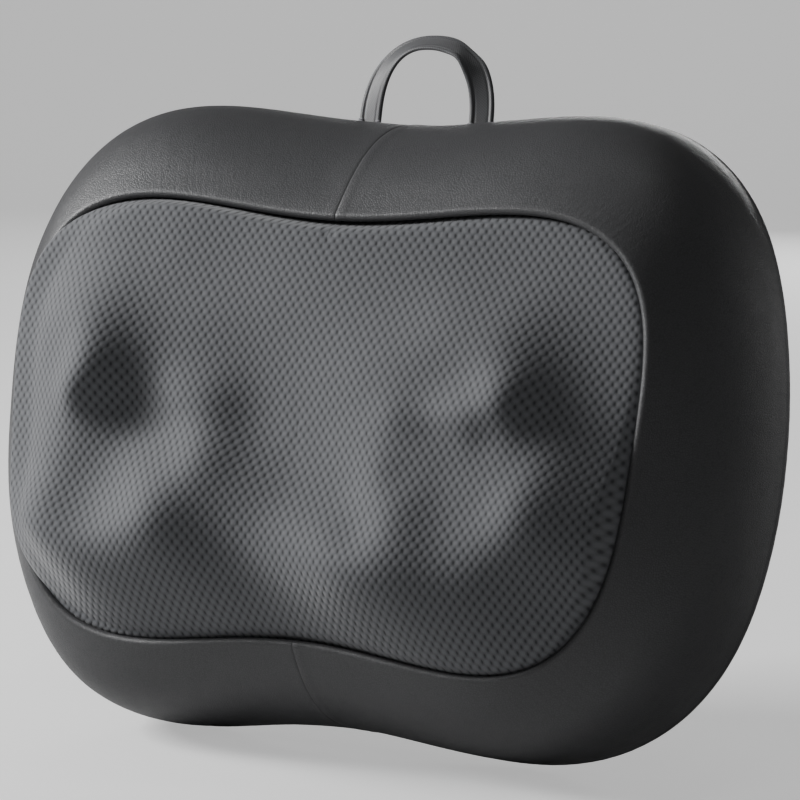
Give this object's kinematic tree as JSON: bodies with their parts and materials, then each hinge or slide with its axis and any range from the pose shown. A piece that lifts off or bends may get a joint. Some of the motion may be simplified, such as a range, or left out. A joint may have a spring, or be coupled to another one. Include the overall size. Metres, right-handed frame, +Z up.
{
  "type": "shiatsu neck massager",
  "caption": "Waisted back-and-neck massage cushion with a mesh front, leather surround, carrying loop and two counter-rotating kneading heads driven by worm gears.",
  "frame": {"origin": "centre of the flat back face", "axes": "+X to the right-hand half seen from the front, -Y towards the user, +Z up to the carrying loop"},
  "size_m": [0.323, 0.096, 0.2777],
  "materials": {
    "back_fabric": "close black woven polyester",
    "black_plastic": "moulded, fine texture",
    "board": "green circuit board",
    "brass": "turned brass",
    "bronze": "sintered bronze",
    "button_plastic": "satin dark grey",
    "foam": "open-cell polyurethane foam",
    "leather": "fine-grained black synthetic leather, satin",
    "mesh_fabric": "open warp-knit spacer mesh, mid grey",
    "node_plastic": "moulded, satin",
    "piping": "leather-covered cord",
    "red_lens": "clear red moulding",
    "steel": "plain rolled and turned steel",
    "webbing": "flat woven webbing with bound edges",
    "white_nylon": "moulded nylon",
    "wire": "insulated lead"
  },
  "bodies": {
    "root": {"button_bezel": "black_plastic", "button_lead": "wire", "chassis_plate": "steel", "chassis_screw_1": "steel", "chassis_screw_2": "steel", "chassis_screw_3": "steel", "chassis_screw_4": "steel", "control_board": "board", "dc_jack": "black_plastic", "foam_surround": "foam", "front_mesh_panel": "mesh_fabric", "front_shell": "black_plastic", "gusset_left": "leather", "gusset_right": "leather", "heat_lens_left": "red_lens", "heat_lens_right": "red_lens", "hollow_spindle_left": "steel", "hollow_spindle_right": "steel", "jack_lead": "wire", "led_board_left": "board", "led_board_right": "board", "motor_bracket": "steel", "motor_can": "steel", "motor_end_bell": "black_plastic", "motor_lead": "wire", "motor_magnet_ring": "black_plastic", "piping_cord": "piping", "rear_cover": "back_fabric", "rear_shell": "black_plastic", "retaining_ring_left": "steel", "retaining_ring_right": "steel", "shaft_bearing_left": "white_nylon", "shaft_bearing_right": "white_nylon", "shell_screw_1": "steel", "shell_screw_2": "steel", "shell_screw_3": "steel", "shell_screw_4": "steel", "tact_switch": "black_plastic"},
    "head_right": {"worm_wheel_right": "white_nylon", "spindle_bush_right": "bronze", "head_disc_right": "black_plastic", "massage_node_right_1": "node_plastic", "massage_node_right_2": "node_plastic", "massage_node_right_3": "node_plastic", "massage_node_right_4": "node_plastic"},
    "head_left": {"worm_wheel_left": "white_nylon", "spindle_bush_left": "bronze", "head_disc_left": "black_plastic", "massage_node_left_1": "node_plastic", "massage_node_left_2": "node_plastic", "massage_node_left_3": "node_plastic", "massage_node_left_4": "node_plastic"},
    "rotor": {"motor_shaft": "steel", "armature": "bronze", "worm_right": "brass", "worm_left": "brass"},
    "button": {"power_button": "button_plastic"},
    "handle": {"handle_loop": "webbing"}
  },
  "joints": [
    {"name": "right_head_spin", "type": "hinge", "parent": "root", "child": "head_right", "pos_m": [0.068, -0.028, -0.018], "axis": [0, 1, 0], "continuous": true},
    {"name": "left_head_spin", "type": "hinge", "parent": "root", "child": "head_left", "pos_m": [-0.068, -0.028, -0.018], "axis": [0, 1, 0], "continuous": true},
    {"name": "rotor_spin", "type": "hinge", "parent": "root", "child": "rotor", "pos_m": [0, -0.028, -0.043], "axis": [1, 0, 0], "continuous": true},
    {"name": "power_button_press", "type": "slide", "parent": "root", "child": "button", "axis": [0.9926, 0.1213, 0], "range_m": [0, 0.0012], "stiffness_N_per_m": 600},
    {"name": "handle_tilt", "type": "hinge", "parent": "root", "child": "handle", "pos_m": [0.0018, -0.009, 0.12084], "axis": [1, 0, 0], "range_deg": [-60, 60]}
  ],
  "couplings": [
    {"joint": "left_head_spin", "follows": "right_head_spin", "ratio": -1},
    {"joint": "rotor_spin", "follows": "right_head_spin", "ratio": 32}
  ]
}
